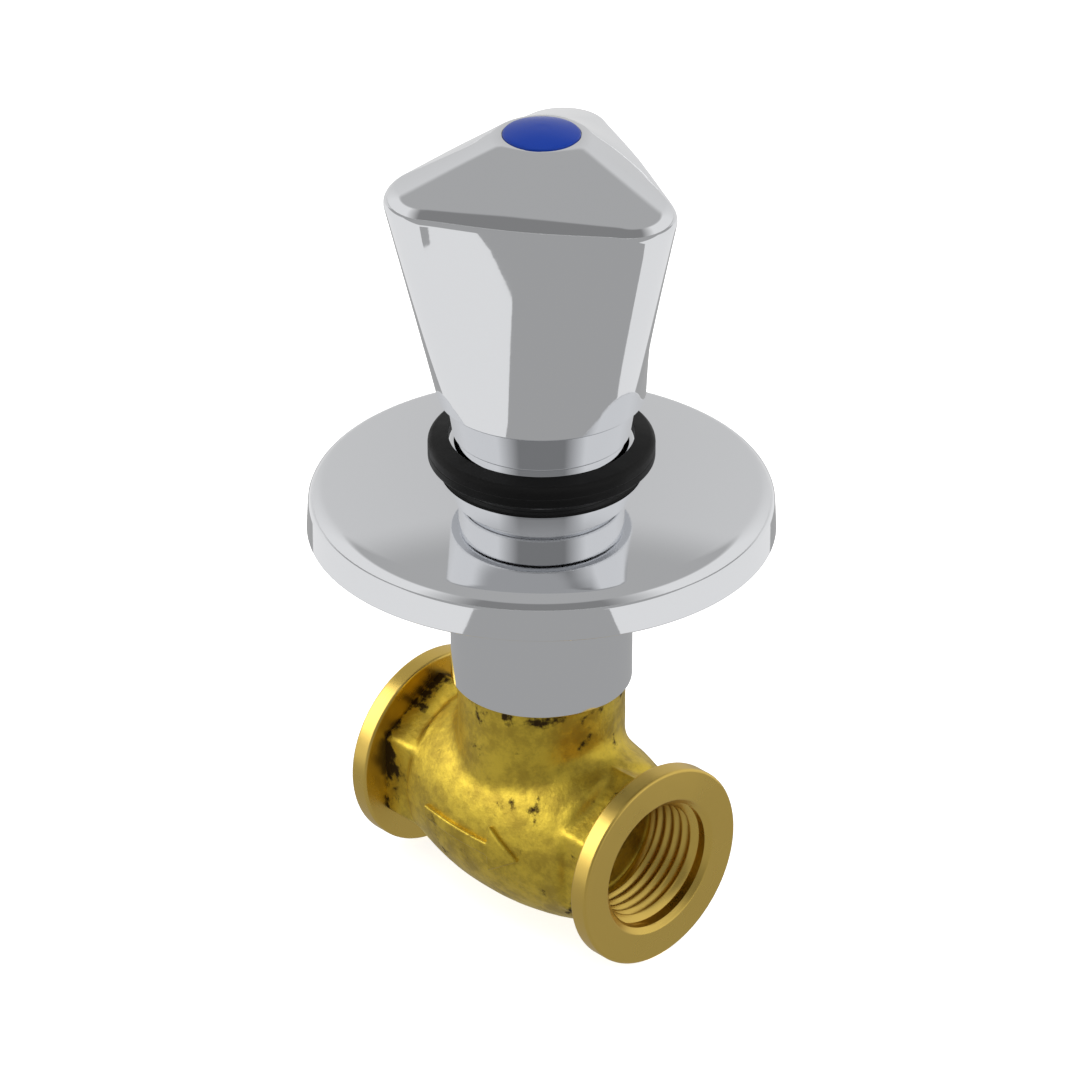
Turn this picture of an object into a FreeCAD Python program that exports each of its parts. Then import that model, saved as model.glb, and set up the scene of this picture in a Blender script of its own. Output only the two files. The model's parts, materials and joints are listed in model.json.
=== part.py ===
"""Concealed shut-off valve with a three-cornered handle, a wall flange and two female ports.

The cast body carries the two ports on one straight run.  A screw-down headwork stands in the neck,
its spindle lifts a washered jumper off the seat, and a plated sleeve covers it up to the handle.
A wall flange and a rubber stop ring slide on the sleeve.

Millimetres, +Z up along the spindle.  The origin is on the port run where the inlet's thread begins,
and +X runs from the inlet to the outlet.  Pieces are built about the spindle axis and moved at the end.
"""

import FreeCAD, Part
import math
import os

Vector = FreeCAD.Vector

# Fits, all radial unless said otherwise
thread_clearance = 0.08      # between a male and a female thread, both as plain cylinders
running_clearance = 0.05     # between a turning or sliding piece and its guide
rubber_clearance = 0.05      # between a rubber ring and the tube it slides on

# Port run of the body
port_length = 52.8           # face to face
port_thread_r = 10.48        # half the outside diameter of a half-inch pipe thread
port_thread_depth = 13.0
port_mouth_chamfer = 0.8
end_flange_r = 16.25
end_flange_t = 3.2
end_flange_edge = 0.45
wrench_flats = 23.4          # across the flats of the hexagon behind each end flange
barrel_half = 17.5           # half the length of the swollen middle
barrel_swell = 2.8           # the barrel's middle stands this much outside the neck
barrel_taper = 2.4           # and its ends are this much smaller in radius
barrel_shoulder = 1.6
body_wall = 3.0

# Neck of the body
bonnet_thread_r = 10.48      # female thread in the neck
neck_wall = 2.72
neck_relief = 0.2            # the neck below its outer thread is this much smaller
neck_top_z = 30.0
neck_thread_length = 6.0
neck_bore_depth = 16.0
neck_blend = 3.8

# Seat and passages
seat_z = 1.0
seat_bore_r = 6.0
seat_land = 1.3
seat_lip = 0.8
bridge_t = 3.4
chamber_shoulder = 0.9       # the upper chamber is this much narrower than the neck thread
inlet_passage_r = 3.9
inlet_passage_drop = 6.4
lower_chamber_r = 8.0
outlet_passage_r = 5.0

# Headwork
gasket_t = 1.0
bonnet_flats = 22.0
bonnet_collar_h = 5.5
bonnet_barrel_r = 8.5
bonnet_barrel_h = 15.0
bonnet_skirt_depth = 13.5
bonnet_skirt_r = 8.4
bonnet_skirt_bore_depth = 4.0
packing_r = 7.3
packing_h = 4.5
packing_box_depth = 8.0
follower_h = 2.4
gland_flats = 19.5
gland_h = 9.0
gland_cap_t = 2.4

# Spindle and jumper
spindle_r = 5.0
spindle_thread_r = 6.0
spindle_thread_lead = 2.5
valve_lift = 5.0
jumper_r = 8.2
jumper_t = 2.2
jumper_cup = 1.2
jumper_pin_r = 3.0
jumper_pin_h = 7.0
seat_washer_r = 7.6
seat_washer_t = 3.0
jumper_stud_r = 1.6
washer_plate_r = 3.6
washer_plate_t = 0.6
washer_nut_flats = 5.5
washer_nut_t = 2.0
spline_r = 4.6
spline_depth = 0.35
spline_count = 20
spline_length = 14.0

# Sleeve
sleeve_wall = 0.75
sleeve_bottom_z = 23.6
sleeve_length = 40.7
sleeve_edge = 0.25

# Stop ring, wall flange and its seal
ring_r = 17.2
ring_h = 4.0
ring_rise = 1.3              # the ring stands this much above the end of the sleeve
ring_edge = 0.55
ring_top_edge = 0.8
ring_top_fall = 0.6          # its top slopes down this much from the bore to the outside
ring_flange_gap = 2.25
flange_r = 35.7
flange_draft = 0.4
flange_height = 9.45
flange_sheet = 1.0
flange_corner = 2.2
flange_dome_r = 185.0        # the dish is domed to this radius
flange_dome_start = 0.8      # the dome begins this far from the hole
flange_dome_end = 2.6        # and ends this far inside the rim
flange_seat_w = 2.4          # flat seat for the seal's foot, behind the sheet
seal_hub = 1.15
seal_foot_w = 2.2
seal_foot_t = 1.2
seal_proud = 0.15

# Handle
handle_turn = 4.6            # degrees from +X to the nearest corner, with the valve shut
handle_gap = 1.7             # from the top of the sleeve to the handle's skirt
skirt_r = 14.3
skirt_bottom_r = 13.8
skirt_h = 6.3
skirt_bottom_round = 0.4
spigot_clearance = 0.45
spigot_wall = 1.0
spigot_length = 8.0
groove_w = 0.45
groove_d = 0.8
groove_floor = 2.5           # metal left above the groove, inside the grip
handle_base_r = 15.7
handle_corner_r = 24.5       # from the axis to the tip of a corner, at the rim before rounding
handle_side_r = 16.1         # from the axis to the middle of a side, at the rim before rounding
handle_corner_round = 7.2
handle_side_round = 9.0
handle_rise = 36.0           # from the groove to the rim
handle_top_rise = 6.7        # from the rim to the flat round the index button
handle_top_edge = 2.8
handle_top_flat_r = 6.8
handle_wall = 2.4
boss_r = 9.0
boss_length = 20.0
bush_r = 6.6
web_t = 2.6
button_r = 5.8
button_gap = 0.08
button_proud = 0.25
button_dome = 0.9
button_peg_r = 4.3
button_peg_h = 2.2
button_recess = 1.3
screw_r = 2.4
screw_length = 14.0
screw_head_r = 4.1
screw_head_h = 2.6
screw_slot_w = 1.1
screw_slot_d = 1.2
lock_washer_t = 1.0

# Worked out from the sizes above
half_run = port_length / 2
neck_thread_r = bonnet_thread_r + neck_wall
neck_r = neck_thread_r - neck_relief
barrel_mid_r = neck_r + barrel_swell
barrel_end_r = barrel_mid_r - barrel_taper
chamber_r = bonnet_thread_r - chamber_shoulder
sleeve_in_r = neck_thread_r + rubber_clearance
sleeve_r = sleeve_in_r + sleeve_wall
sleeve_top_z = sleeve_bottom_z + sleeve_length
slide_r = sleeve_r + rubber_clearance
ring_top_z = sleeve_top_z + ring_rise
ring_bottom_z = ring_top_z - ring_h
lip_top_z = ring_bottom_z - ring_flange_gap
flange_bottom_z = lip_top_z - flange_height
flange_hole_r = slide_r + seal_hub
dome_start = math.asin((flange_hole_r + flange_dome_start) / flange_dome_r)
dome_end = math.asin((flange_r - flange_draft - flange_dome_end) / flange_dome_r)
seat_bottom_z = lip_top_z - flange_sheet - flange_seat_w * math.tan(dome_start)
skirt_bottom_z = sleeve_top_z + handle_gap
groove_z = skirt_bottom_z + skirt_h
rim_z = groove_z + handle_rise
handle_top_z = rim_z + handle_top_rise
gasket_top_z = neck_top_z + gasket_t
collar_top_z = gasket_top_z + bonnet_collar_h
bonnet_top_z = collar_top_z + bonnet_barrel_h
packing_bottom_z = bonnet_top_z - packing_box_depth
gland_top_z = bonnet_top_z + gland_cap_t
well_bottom_z = handle_top_z - button_recess - button_peg_h - screw_head_h - lock_washer_t - 0.5
spindle_top_z = well_bottom_z - web_t
washer_top_z = seat_z + seat_washer_t
jumper_top_z = washer_top_z + jumper_t
spindle_shoulder_z = collar_top_z - 1.0 - valve_lift


def outline(corners):
    """Closed wire in the XZ plane from (r, z) or (r, z, round) corners, rounded where a third value says."""
    count = len(corners)
    points = [Vector(c[0], 0, c[1]) for c in corners]
    starts, ends, arcs = [], [], []
    for i, corner in enumerate(corners):
        here = points[i]
        if len(corner) < 3:
            starts.append(here)
            ends.append(here)
            arcs.append(None)
            continue
        back = (points[i - 1] - here).normalize()
        ahead = (points[(i + 1) % count] - here).normalize()
        half_angle = back.getAngle(ahead) / 2
        reach = corner[2] / math.tan(half_angle)
        middle = here + (back + ahead).normalize() * (corner[2] / math.sin(half_angle) - corner[2])
        starts.append(here + back * reach)
        ends.append(here + ahead * reach)
        arcs.append(Part.Arc(starts[i], middle, ends[i]).toShape())
    edges = []
    for i in range(count):
        if arcs[i]:
            edges.append(arcs[i])
        following = (i + 1) % count
        if (starts[following] - ends[i]).Length > 1e-6:
            edges.append(Part.LineSegment(ends[i], starts[following]).toShape())
    return Part.Wire(edges)


def turned(corners):
    """Solid of revolution about Z."""
    return Part.Face(outline(corners)).revolve(Vector(0, 0, 0), Vector(0, 0, 1), 360)


def turned_about_run(corners):
    """Solid of revolution about X, from (distance from the axis, place along X) corners."""
    shape = turned(corners)
    shape.rotate(Vector(0, 0, 0), Vector(0, 1, 0), 90)
    return shape


def tube(outer, inner, bottom, top):
    return turned([(inner, bottom), (outer, bottom), (outer, top), (inner, top)])


def rod(radius, bottom, top):
    return Part.makeCylinder(radius, top - bottom, Vector(0, 0, bottom))


def hexagon(flats, height, base, direction, turn=0.0):
    """Six-sided prism, as wide as flats from face to face."""
    corner = flats / math.sqrt(3)
    points = []
    for i in range(7):
        angle = math.radians(60 * i + turn)
        points.append(Vector(corner * math.cos(angle), corner * math.sin(angle), 0))
    prism = Part.Face(Part.makePolygon(points)).extrude(Vector(0, 0, height))
    prism.Placement = FreeCAD.Placement(base, FreeCAD.Rotation(Vector(0, 0, 1), direction))
    return prism


def chamfered_hexagon(flats, bottom, top, bevel):
    """Upright hexagon with the turned chamfer that a nut has on the given ends."""
    corner = flats / math.sqrt(3)
    prism = hexagon(flats, top - bottom, Vector(0, 0, bottom), Vector(0, 0, 1))
    low, high = bevel
    cone = turned([
        (0, bottom), (corner - 2 * low, bottom), (corner, bottom + low),
        (corner, top - high), (corner - 2 * high, top), (0, top),
    ])
    return prism.common(cone)


def barrel():
    """Swollen middle of the run, with rounded shoulders."""
    start = barrel_half - barrel_shoulder
    drop = barrel_shoulder * (1 - math.sqrt(0.5))
    curves = [
        Part.Arc(Vector(-start, 0, barrel_end_r), Vector(0, 0, barrel_mid_r), Vector(start, 0, barrel_end_r))
    ]
    for side in (-1, 1):
        curves.append(Part.Arc(
            Vector(side * start, 0, barrel_end_r), Vector(side * (barrel_half - drop), 0, barrel_end_r - drop),
            Vector(side * barrel_half, 0, barrel_end_r - barrel_shoulder),
        ))
    rest = Part.makePolygon([
        Vector(barrel_half, 0, barrel_end_r - barrel_shoulder), Vector(barrel_half, 0, 0),
        Vector(-barrel_half, 0, 0), Vector(-barrel_half, 0, barrel_end_r - barrel_shoulder),
    ])
    edges = Part.__sortEdges__([curve.toShape() for curve in curves] + rest.Edges)
    return Part.Face(Part.Wire(edges)).revolve(Vector(0, 0, 0), Vector(1, 0, 0), 360)


def body_outside():
    """Swollen barrel along the run, neck blended into it, wrench hexagons and turned end flanges."""
    shape = barrel().fuse(rod(neck_r, 0, neck_top_z))
    joint = [
        e for e in shape.Edges
        if e.BoundBox.ZMax < barrel_mid_r + 0.5
        and all(abs(math.hypot(p.x, p.y) - neck_r) < 0.01 for p in e.discretize(7))
    ]
    shape = shape.makeFillet(neck_blend, joint)
    shape = shape.fuse(rod(neck_thread_r, neck_top_z - neck_thread_length, neck_top_z))
    hexagon_start = barrel_half * 0.8
    for side in (-1, 1):
        inner = side * (half_run - end_flange_t)
        prism = hexagon(
            wrench_flats, half_run - end_flange_t - hexagon_start, Vector(side * hexagon_start, 0, 0),
            Vector(side, 0, 0),
        )
        outer = side * half_run
        flange = turned_about_run([
            (0, inner), (end_flange_r - end_flange_edge, inner), (end_flange_r, inner + side * end_flange_edge),
            (end_flange_r, outer - side * end_flange_edge), (end_flange_r - end_flange_edge, outer), (0, outer),
        ])
        shape = shape.fuse(prism).fuse(flange)
    return shape


def body_inside():
    """Everything that the core leaves open: two ports, chambers above and below the seat, and the neck."""
    shape = rod(bonnet_thread_r, neck_top_z - neck_bore_depth, neck_top_z + 1)
    shape = shape.fuse(rod(chamber_r, seat_z - seat_lip, neck_top_z - neck_bore_depth + 0.1))
    lip = tube(seat_bore_r + seat_land, seat_bore_r, seat_z - seat_lip, seat_z)
    shape = shape.cut(lip)
    floor_z = -(barrel_mid_r - body_wall)
    shape = shape.fuse(rod(lower_chamber_r, floor_z, seat_z - bridge_t))
    shape = shape.fuse(rod(seat_bore_r, seat_z - bridge_t - 0.1, seat_z + 0.01))
    bottom_x = half_run - port_thread_depth
    for side in (-1, 1):
        mouth = side * half_run
        port = turned_about_run([
            (0, side * bottom_x), (port_thread_r, side * bottom_x),
            (port_thread_r, mouth - side * port_mouth_chamfer), (port_thread_r + port_mouth_chamfer, mouth),
            (port_thread_r + port_mouth_chamfer, mouth + side), (0, mouth + side),
        ])
        shape = shape.fuse(port)
    inlet = Part.makeCylinder(
        inlet_passage_r, bottom_x + 0.5, Vector(-bottom_x - 0.5, 0, -inlet_passage_drop), Vector(1, 0, 0)
    )
    outlet_z = seat_z - seat_lip + outlet_passage_r
    outlet = Part.makeCylinder(outlet_passage_r, bottom_x + 0.5, Vector(0, 0, outlet_z), Vector(1, 0, 0))
    return shape.fuse(inlet).fuse(outlet)


def body_casting():
    return body_outside().cut(body_inside())


def bonnet_gasket():
    return tube(neck_thread_r, bonnet_thread_r, neck_top_z, gasket_top_z)


def bonnet():
    """Headwork housing: male thread in the neck, hexagon on the gasket, packing box at the top."""
    male_r = bonnet_thread_r - thread_clearance
    skirt_z = neck_top_z - bonnet_skirt_depth
    shape = rod(male_r, skirt_z, gasket_top_z)
    shape = shape.fuse(chamfered_hexagon(bonnet_flats, gasket_top_z, collar_top_z, (0, 0.7)))
    shape = shape.fuse(rod(bonnet_barrel_r, collar_top_z - 1, bonnet_top_z))
    shape = shape.cut(rod(bonnet_skirt_r, skirt_z - 1, skirt_z + bonnet_skirt_bore_depth))
    shape = shape.cut(rod(spindle_thread_r + running_clearance, skirt_z, collar_top_z))
    shape = shape.cut(rod(spindle_r + running_clearance, skirt_z, bonnet_top_z + 1))
    return shape.cut(rod(packing_r, packing_bottom_z, bonnet_top_z + 1))


def gland_packing():
    return tube(packing_r, spindle_r + running_clearance, packing_bottom_z, packing_bottom_z + packing_h)


def gland_follower():
    bottom = packing_bottom_z + packing_h
    return tube(packing_r - thread_clearance, spindle_r + running_clearance, bottom, bottom + follower_h)


def gland_nut():
    """Cap nut on the bonnet's outer thread.  Its plug bears on the follower."""
    bottom = gland_top_z - gland_h
    shape = chamfered_hexagon(gland_flats, bottom, gland_top_z, (0.5, 0.8))
    shape = shape.cut(rod(bonnet_barrel_r + thread_clearance, bottom - 1, bonnet_top_z))
    follower_top = packing_bottom_z + packing_h + follower_h
    shape = shape.fuse(rod(packing_r - thread_clearance, follower_top, bonnet_top_z + 0.5))
    return shape.cut(rod(spindle_r + running_clearance, follower_top - 1, gland_top_z + 1))


def sleeve():
    return turned([
        (sleeve_in_r, sleeve_bottom_z), (sleeve_r, sleeve_bottom_z, sleeve_edge),
        (sleeve_r, sleeve_top_z, sleeve_edge), (sleeve_in_r, sleeve_top_z),
    ])


def stop_ring():
    return turned([
        (slide_r, ring_bottom_z), (ring_r, ring_bottom_z, ring_edge),
        (ring_r, ring_top_z - ring_top_fall, ring_top_edge), (slide_r, ring_top_z),
    ])


def wall_flange():
    """Pressed dish: a shallow dome down to a rounded corner, a drafted rim and a flat seat for the seal."""
    top_r = flange_r - flange_draft
    inner_r = top_r - flange_sheet
    middle_r = flange_dome_r * math.sin((dome_start + dome_end) / 2) / math.cos((dome_end - dome_start) / 2)
    middle_z = lip_top_z - (middle_r - flange_hole_r) * math.tan(dome_start)
    edge_z = middle_z - (top_r - middle_r) * math.tan(dome_end)
    inner_z = edge_z - flange_sheet * (1 - math.tan(dome_end))
    return turned([
        (flange_hole_r, seat_bottom_z), (flange_hole_r, lip_top_z, 0.3), (middle_r, middle_z, flange_dome_r),
        (top_r, edge_z, flange_corner), (flange_r, flange_bottom_z), (flange_r - flange_sheet, flange_bottom_z),
        (inner_r, inner_z, flange_corner - flange_sheet),
        (middle_r, middle_z - flange_sheet, flange_dome_r - flange_sheet),
        (flange_hole_r + flange_seat_w, seat_bottom_z),
    ])


def flange_seal():
    """Rubber bush in the flange's hole, with a foot behind the sheet."""
    foot_z = seat_bottom_z - seal_foot_t
    return turned([
        (slide_r, foot_z), (flange_hole_r + seal_foot_w, foot_z, 0.3),
        (flange_hole_r + seal_foot_w, seat_bottom_z), (flange_hole_r, seat_bottom_z),
        (flange_hole_r, lip_top_z + seal_proud, 0.3), (slide_r, lip_top_z + seal_proud),
    ])


def jumper():
    """Disc with a cup for the washer, a pin up into the spindle and a stud down through the washer."""
    shape = turned([
        (0, washer_top_z), (seat_washer_r, washer_top_z), (seat_washer_r, washer_top_z - jumper_cup),
        (jumper_r, washer_top_z - jumper_cup), (jumper_r, jumper_top_z, 0.4), (0, jumper_top_z),
    ])
    shape = shape.fuse(rod(jumper_pin_r, washer_top_z, jumper_top_z + jumper_pin_h))
    return shape.fuse(rod(jumper_stud_r, seat_z - washer_plate_t - washer_nut_t - 0.6, washer_top_z + 0.1))


def seat_washer():
    return tube(seat_washer_r, jumper_stud_r, seat_z, washer_top_z)


def washer_plate():
    return tube(washer_plate_r, jumper_stud_r, seat_z - washer_plate_t, seat_z)


def washer_nut():
    top = seat_z - washer_plate_t
    nut = chamfered_hexagon(washer_nut_flats, top - washer_nut_t, top, (0.3, 0))
    return nut.cut(rod(jumper_stud_r, top - washer_nut_t - 1, top + 1))


def spline_wire(radius, z):
    """Toothed outline of the spindle's top end."""
    points = []
    for i in range(2 * spline_count + 1):
        reach = radius if i % 2 == 0 else radius - spline_depth
        angle = math.pi * i / spline_count
        points.append(Vector(reach * math.cos(angle), reach * math.sin(angle), z))
    return Part.makePolygon(points)


def spindle():
    """Screwed foot, plain shaft and splined end, bored below for the jumper and above for the screw."""
    shape = rod(spindle_thread_r, jumper_top_z, spindle_shoulder_z)
    shape = shape.fuse(rod(spindle_r, spindle_shoulder_z - 1, spindle_top_z - spline_length))
    splines = Part.Face(spline_wire(spline_r, spindle_top_z - spline_length - 1))
    shape = shape.fuse(splines.extrude(Vector(0, 0, spline_length + 1)))
    pin_hole = rod(jumper_pin_r + running_clearance, jumper_top_z - 1, jumper_top_z + jumper_pin_h + 0.5)
    screw_bottom = well_bottom_z - screw_length
    screw_hole = rod(screw_r, screw_bottom - 1, spindle_top_z + 1)
    return shape.cut(pin_hole).cut(screw_hole)


def handle_section(corner_r, side_r, corner_round, side_round, z):
    """Three rounded corners and three blunt, barely bent sides, as four edges to each third."""
    spread = math.radians(60)
    tip = Vector(corner_r, 0, 0)
    blunt = Vector(side_r * math.cos(spread), side_r * math.sin(spread), 0)
    centre = corner_r - corner_round
    slope = math.atan2(blunt.y, centre - blunt.x)
    normal = math.pi / 2 - slope
    for _ in range(20):
        foot = Vector(centre + corner_round * math.cos(normal), corner_round * math.sin(normal), 0)
        edge = blunt - foot
        normal = math.atan2(edge.y, edge.x) - math.pi / 2
    half_bend = math.radians(60) - normal
    reach = side_round * math.tan(half_bend)
    near = blunt - edge.normalize() * reach
    far_angle = 2 * math.radians(60)

    def mirrored(point):
        return Vector(
            point.x * math.cos(far_angle) + point.y * math.sin(far_angle),
            point.x * math.sin(far_angle) - point.y * math.cos(far_angle), 0,
        )

    edges = []
    bulge = side_round * (1 / math.cos(half_bend) - 1)
    crest = blunt * ((side_r - bulge) / side_r)
    lower_foot = Vector(foot.x, -foot.y, 0)
    thirds = [
        Part.Arc(lower_foot, tip, foot), Part.LineSegment(foot, near),
        Part.Arc(near, crest, mirrored(near)), Part.LineSegment(mirrored(near), mirrored(foot)),
    ]
    for turn in range(3):
        place = FreeCAD.Placement(Vector(0, 0, z), FreeCAD.Rotation(Vector(0, 0, 1), 120 * turn))
        for curve in thirds:
            edge_shape = curve.toShape()
            edge_shape.Placement = place
            edges.append(edge_shape)
    return Part.Wire(edges), [foot, near, mirrored(near), mirrored(foot)]


def round_section(radius, joints, z):
    """Circle split where the corners, blunts and flats of the section above it meet."""
    angles = [math.atan2(p.y, p.x) for p in joints]
    stops = [-angles[0]] + angles
    edges = []
    for turn in range(3):
        for first, last in zip(stops, stops[1:]):
            ends = [math.radians(120) * turn + a for a in (first, (first + last) / 2, last)]
            points = [Vector(radius * math.cos(a), radius * math.sin(a), z) for a in ends]
            edges.append(Part.Arc(*points).toShape())
    return Part.Wire(edges)


def grip_solid(inset, floor_z):
    """Round at the groove, three-cornered at the rim, and drawn in again to the flat top."""
    wide, joints = handle_section(
        handle_corner_r - inset, handle_side_r - inset, handle_corner_round - inset, handle_side_round, rim_z
    )
    low = round_section(handle_base_r - inset, joints, floor_z)
    high = round_section(handle_top_flat_r, joints, handle_top_z - inset)
    return Part.makeLoft([low, wide, high], True, True)


def handle_outside():
    """The grip with its rim rounded off."""
    grip = grip_solid(0, groove_z)
    rim = [e for e in grip.Edges if e.BoundBox.ZMin > rim_z - 0.01 and e.BoundBox.ZMax < rim_z + 0.01]
    return grip.makeFillet(handle_top_edge, rim)


def handle():
    """Hollow plated casting: flared grip, grooved skirt, spigot that hides inside the sleeve, splined boss."""
    spigot_r = sleeve_in_r - spigot_clearance
    spigot_in_r = spigot_r - spigot_wall
    spigot_z = skirt_bottom_z - spigot_length
    shape = handle_outside().fuse(turned([
        (0, skirt_bottom_z), (skirt_bottom_r, skirt_bottom_z, skirt_bottom_round), (skirt_r, groove_z - groove_w),
        (skirt_r - groove_d, groove_z - groove_w / 2), (skirt_r - groove_d / 2, groove_z + 1), (0, groove_z + 1),
    ]))
    shape = shape.fuse(rod(spigot_r, spigot_z, skirt_bottom_z + 0.5))
    boss_bottom_z = spindle_top_z - boss_length
    cavity = grip_solid(handle_wall, groove_z + groove_floor)
    cavity = cavity.fuse(rod(spigot_in_r, spigot_z - 1, groove_z + groove_floor + 1))
    cavity = cavity.cut(rod(boss_r, boss_bottom_z, handle_top_z + 1))
    cavity = cavity.fuse(rod(bush_r, boss_bottom_z - 1, spindle_top_z))
    cavity = cavity.fuse(rod(screw_r + 0.2, spindle_top_z - 1, well_bottom_z + 1))
    cavity = cavity.fuse(rod(button_peg_r + button_gap, well_bottom_z, handle_top_z + 1))
    cavity = cavity.fuse(rod(button_r + button_gap, handle_top_z - button_recess, handle_top_z + 1))
    shape = shape.cut(cavity)
    shape.rotate(Vector(0, 0, 0), Vector(0, 0, 1), handle_turn)
    return shape


def handle_bush():
    """Splined bush in the handle's boss, with the spindle's teeth cut in its bore."""
    bottom = spindle_top_z - spline_length + 1.0
    bore = Part.Face(spline_wire(spline_r + running_clearance, bottom - 1)).extrude(
        Vector(0, 0, spindle_top_z - bottom + 2)
    )
    return rod(bush_r, bottom, spindle_top_z).cut(bore)


def lock_washer():
    """Split spring washer under the screw's head."""
    ring = tube(screw_head_r - 0.3, screw_r + 0.2, well_bottom_z, well_bottom_z + lock_washer_t)
    split = Part.makeBox(screw_head_r, 0.6, lock_washer_t, Vector(0, -0.3, well_bottom_z))
    return ring.cut(split)


def handle_screw():
    """Slotted cheese-head screw down into the spindle."""
    head_z = well_bottom_z + lock_washer_t
    head = turned([
        (0, head_z), (screw_head_r, head_z), (screw_head_r, head_z + screw_head_h, 0.5), (0, head_z + screw_head_h),
    ])
    slot = Part.makeBox(
        2 * screw_head_r, screw_slot_w, screw_slot_d,
        Vector(-screw_head_r, -screw_slot_w / 2, head_z + screw_head_h - screw_slot_d),
    )
    return head.cut(slot).fuse(rod(screw_r, well_bottom_z - screw_length, head_z + 0.1))


def index_button():
    """Domed disc that stands a little proud of the handle, on a peg in the handle's well."""
    low = handle_top_z - button_recess
    crest_z = handle_top_z + button_proud + button_dome
    sphere_r = (button_r ** 2 + button_dome ** 2) / (2 * button_dome)
    ball = Part.makeSphere(sphere_r, Vector(0, 0, crest_z - sphere_r))
    return rod(button_r, low, crest_z).common(ball).fuse(rod(button_peg_r, low - button_peg_h, low))


pieces = {
    "body_casting": body_casting,
    "bonnet_gasket": bonnet_gasket,
    "bonnet": bonnet,
    "gland_packing": gland_packing,
    "gland_follower": gland_follower,
    "gland_nut": gland_nut,
    "sleeve": sleeve,
    "stop_ring": stop_ring,
    "wall_flange": wall_flange,
    "flange_seal": flange_seal,
    "jumper": jumper,
    "seat_washer": seat_washer,
    "washer_plate": washer_plate,
    "washer_nut": washer_nut,
    "spindle": spindle,
    "handle": handle,
    "handle_bush": handle_bush,
    "lock_washer": lock_washer,
    "handle_screw": handle_screw,
    "index_button": index_button,
}

os.makedirs("parts", exist_ok=True)
for name, make in pieces.items():
    shape = make()
    shape.translate(Vector(half_run - port_mouth_chamfer, 0, 0))
    solids = shape.Solids
    solid = solids[0] if len(solids) == 1 else Part.makeCompound(solids)
    print(f"{name}: {len(solids)} solid, {solid.Volume:.1f} mm3, valid {solid.isValid()}")
    solid.exportStep(f"parts/{name}.step")
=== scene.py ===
import math
import bpy
import bmesh
from bmesh.types import BMVert, BMEdge, BMFace
from mathutils import Vector, Matrix, noise
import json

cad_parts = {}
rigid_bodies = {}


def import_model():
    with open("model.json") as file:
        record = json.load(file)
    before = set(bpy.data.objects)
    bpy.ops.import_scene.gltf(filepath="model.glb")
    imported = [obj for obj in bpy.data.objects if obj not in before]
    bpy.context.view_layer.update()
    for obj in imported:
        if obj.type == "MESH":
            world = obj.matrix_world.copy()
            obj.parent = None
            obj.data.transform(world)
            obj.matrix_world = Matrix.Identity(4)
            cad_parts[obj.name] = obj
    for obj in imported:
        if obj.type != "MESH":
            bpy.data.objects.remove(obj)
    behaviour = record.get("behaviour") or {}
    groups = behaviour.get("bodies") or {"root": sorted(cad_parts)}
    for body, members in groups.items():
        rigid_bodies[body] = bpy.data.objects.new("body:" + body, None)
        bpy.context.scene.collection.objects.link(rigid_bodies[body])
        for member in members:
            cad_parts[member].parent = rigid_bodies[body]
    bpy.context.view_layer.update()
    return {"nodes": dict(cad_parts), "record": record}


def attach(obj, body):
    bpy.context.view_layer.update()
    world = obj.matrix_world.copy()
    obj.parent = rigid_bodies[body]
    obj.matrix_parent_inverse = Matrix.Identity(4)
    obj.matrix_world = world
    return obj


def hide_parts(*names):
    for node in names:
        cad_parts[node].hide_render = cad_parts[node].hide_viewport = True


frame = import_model()
print("frame loaded:", len(frame["nodes"]), "nodes")

mm = 0.001
mergeDistance = 0.0005    # mm
stemX = 25.6    # mm from the origin to the spindle's axis, along the port run
cameraTurn = 46.24    # degrees that the camera stands round the stem


# a group's sockets are (label, kind, value) going in and (label, kind) coming out
def newGroup(name, inputs, outputs):
    group = bpy.data.node_groups.new(name, "ShaderNodeTree")
    for label, kind, value in inputs:
        socket = group.interface.new_socket(label, in_out="INPUT", socket_type=kind)
        socket.default_value = value
    for label, kind in outputs:
        group.interface.new_socket(label, in_out="OUTPUT", socket_type=kind)
    return group, group.nodes.new("NodeGroupInput"), group.nodes.new("NodeGroupOutput")


def addNode(tree, kind, **values):
    node = tree.nodes.new(kind)
    for key, value in values.items():
        if hasattr(node, key):
            setattr(node, key, value)
        else:
            node.inputs[key.replace("_", " ")].default_value = value
    return node


def mathNode(tree, operation, first, second=None):
    node = tree.nodes.new("ShaderNodeMath")
    node.operation = operation
    for index, value in enumerate((first, second)):
        if value is None:
            continue
        if isinstance(value, (int, float)):
            node.inputs[index].default_value = value
        else:
            tree.links.new(value, node.inputs[index])
    return node.outputs[0]


def noiseNode(tree, coords, scale, detail=4.0, roughness=0.55):
    node = addNode(tree, "ShaderNodeTexNoise", Scale=scale, Detail=detail, Roughness=roughness)
    tree.links.new(coords, node.inputs["Vector"])
    return node.outputs["Fac"]


def rangeNode(tree, value, low, high, toLow=0.0, toHigh=1.0):
    node = addNode(tree, "ShaderNodeMapRange", interpolation_type="SMOOTHSTEP")
    tree.links.new(value, node.inputs["Value"])
    for label, number in (("From Min", low), ("From Max", high), ("To Min", toLow), ("To Max", toHigh)):
        node.inputs[label].default_value = number
    return node.outputs["Result"]


def mixColour(tree, mask, first, second):
    node = addNode(tree, "ShaderNodeMix", data_type="RGBA")
    tree.links.new(mask, node.inputs["Factor"])
    for index, value in ((6, first), (7, second)):
        if isinstance(value, tuple):
            node.inputs[index].default_value = (*value, 1)
        else:
            tree.links.new(value, node.inputs[index])
    return node.outputs[2]


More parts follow.
